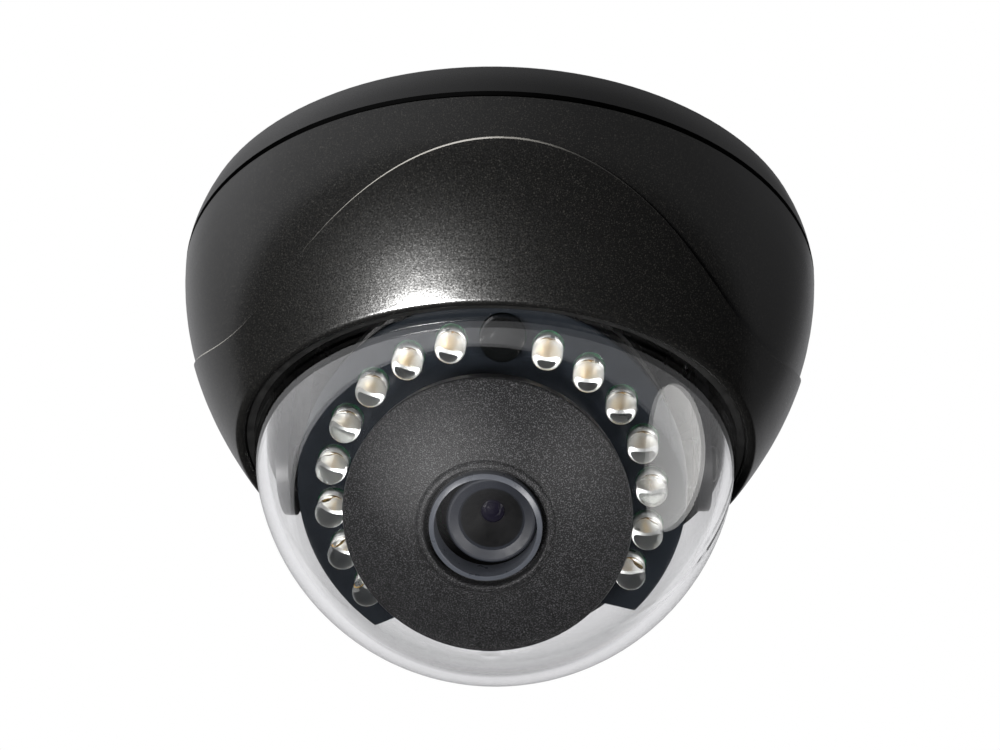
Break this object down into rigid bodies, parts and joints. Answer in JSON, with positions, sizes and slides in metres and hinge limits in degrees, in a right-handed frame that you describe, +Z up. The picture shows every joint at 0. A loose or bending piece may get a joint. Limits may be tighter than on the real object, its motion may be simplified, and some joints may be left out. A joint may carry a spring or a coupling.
{
  "type": "dome surveillance camera",
  "caption": "Black ceiling dome camera: a round base and lobed cover around a clear dome, with an infrared lamp ring and lens on a pan, tilt and turn gimbal.",
  "frame": {"origin": "centre of the base's flat ceiling face", "axes": "+Z up out of the ceiling face, the camera hangs towards -Z; -Y is the front, the side the lens looks towards; +X is to the right seen from the front"},
  "size_m": [0.11, 0.11, 0.081],
  "materials": {
    "base_paint": "satin black",
    "cover_paint": "fine-grained black powder coat",
    "clear_dome": "clear polished polycarbonate",
    "seal_rubber": "matt",
    "screw_steel": "plated",
    "black_screw": "blackened",
    "bracket_plastic": "moulded black",
    "housing_alloy": "painted die casting",
    "ring_plastic": "moulded black",
    "circuit_board": "green solder mask",
    "smoked_cap": "smoked clear",
    "plate_gloss": "glossy black",
    "led_epoxy": "clear epoxy",
    "leadframe": "silver plated",
    "sensor_black": "dark resin",
    "disc_paint": "grained black with fine sparkle",
    "bezel_black": "black anodised, bright turned edge",
    "lens_metal": "black anodised",
    "lens_glass": "coated glass",
    "filter_glass": "infrared cut glass",
    "chip_resin": "moulded resin",
    "socket_plastic": "white nylon"
  },
  "bodies": {
    "base": {"base_housing": "base_paint", "body_seal_ring": "seal_rubber", "cable_grommet": "seal_rubber", "pan_clips": "screw_steel", "pan_clip_screws": "screw_steel"},
    "cover_body": {"cover": "cover_paint", "cover_lock_screws": "black_screw", "dome_bubble": "clear_dome", "dome_gasket": "seal_rubber", "dome_retaining_ring": "ring_plastic", "retaining_ring_screws": "screw_steel"},
    "pan_body": {"pan_bracket": "bracket_plastic", "tilt_washers": "ring_plastic"},
    "tilt_body": {"tilt_cradle": "bracket_plastic", "tilt_pivot_screws": "black_screw"},
    "module": {"module_housing": "housing_alloy", "rotation_lock_ring": "ring_plastic", "rotation_lock_screws": "black_screw", "led_board": "circuit_board", "led_cover_plate": "plate_gloss", "ir_leds": "led_epoxy", "led_leadframes": "leadframe", "light_sensor": "sensor_black", "light_sensor_window": "smoked_cap", "plate_screws": "screw_steel", "front_cover": "disc_paint", "front_cover_screws": "screw_steel", "lens_bezel": "bezel_black", "lens_holder": "chip_resin", "lens_lock_nut": "lens_metal", "lens_holder_screws": "screw_steel", "ir_cut_filter": "filter_glass", "main_board": "circuit_board", "board_screws": "screw_steel", "image_sensor": "chip_resin", "sensor_glass": "lens_glass", "board_chips": "chip_resin", "video_power_socket": "socket_plastic", "led_link_socket": "socket_plastic", "led_link_ribbon": "socket_plastic"},
    "lens": {"lens_barrel": "lens_metal", "lens_front_element": "lens_glass", "lens_rear_element": "lens_glass"}
  },
  "joints": [
    {"name": "cover_lift_off", "type": "slide", "parent": "base", "child": "cover_body", "axis": [0, 0, -1], "range_m": [0, 0.09]},
    {"name": "pan", "type": "hinge", "parent": "base", "child": "pan_body", "pos_m": [0, 0, 0], "axis": [0, 0, 1], "range_deg": [-171, 179]},
    {"name": "tilt", "type": "hinge", "parent": "pan_body", "child": "tilt_body", "pos_m": [0, 0, -0.04424], "axis": [0.9975, -0.0701, 0], "range_deg": [-35, 38.4]},
    {"name": "turn", "type": "hinge", "parent": "tilt_body", "child": "module", "pos_m": [0, 0, -0.04424], "axis": [-0.0436, -0.6203, -0.7832], "range_deg": [-170, 170]},
    {"name": "lens_focus", "type": "hinge", "parent": "module", "child": "lens", "pos_m": [0.00075, 0, -0.04428], "axis": [-0.0436, -0.6203, -0.7832], "range_deg": [-180, 180]}
  ]
}
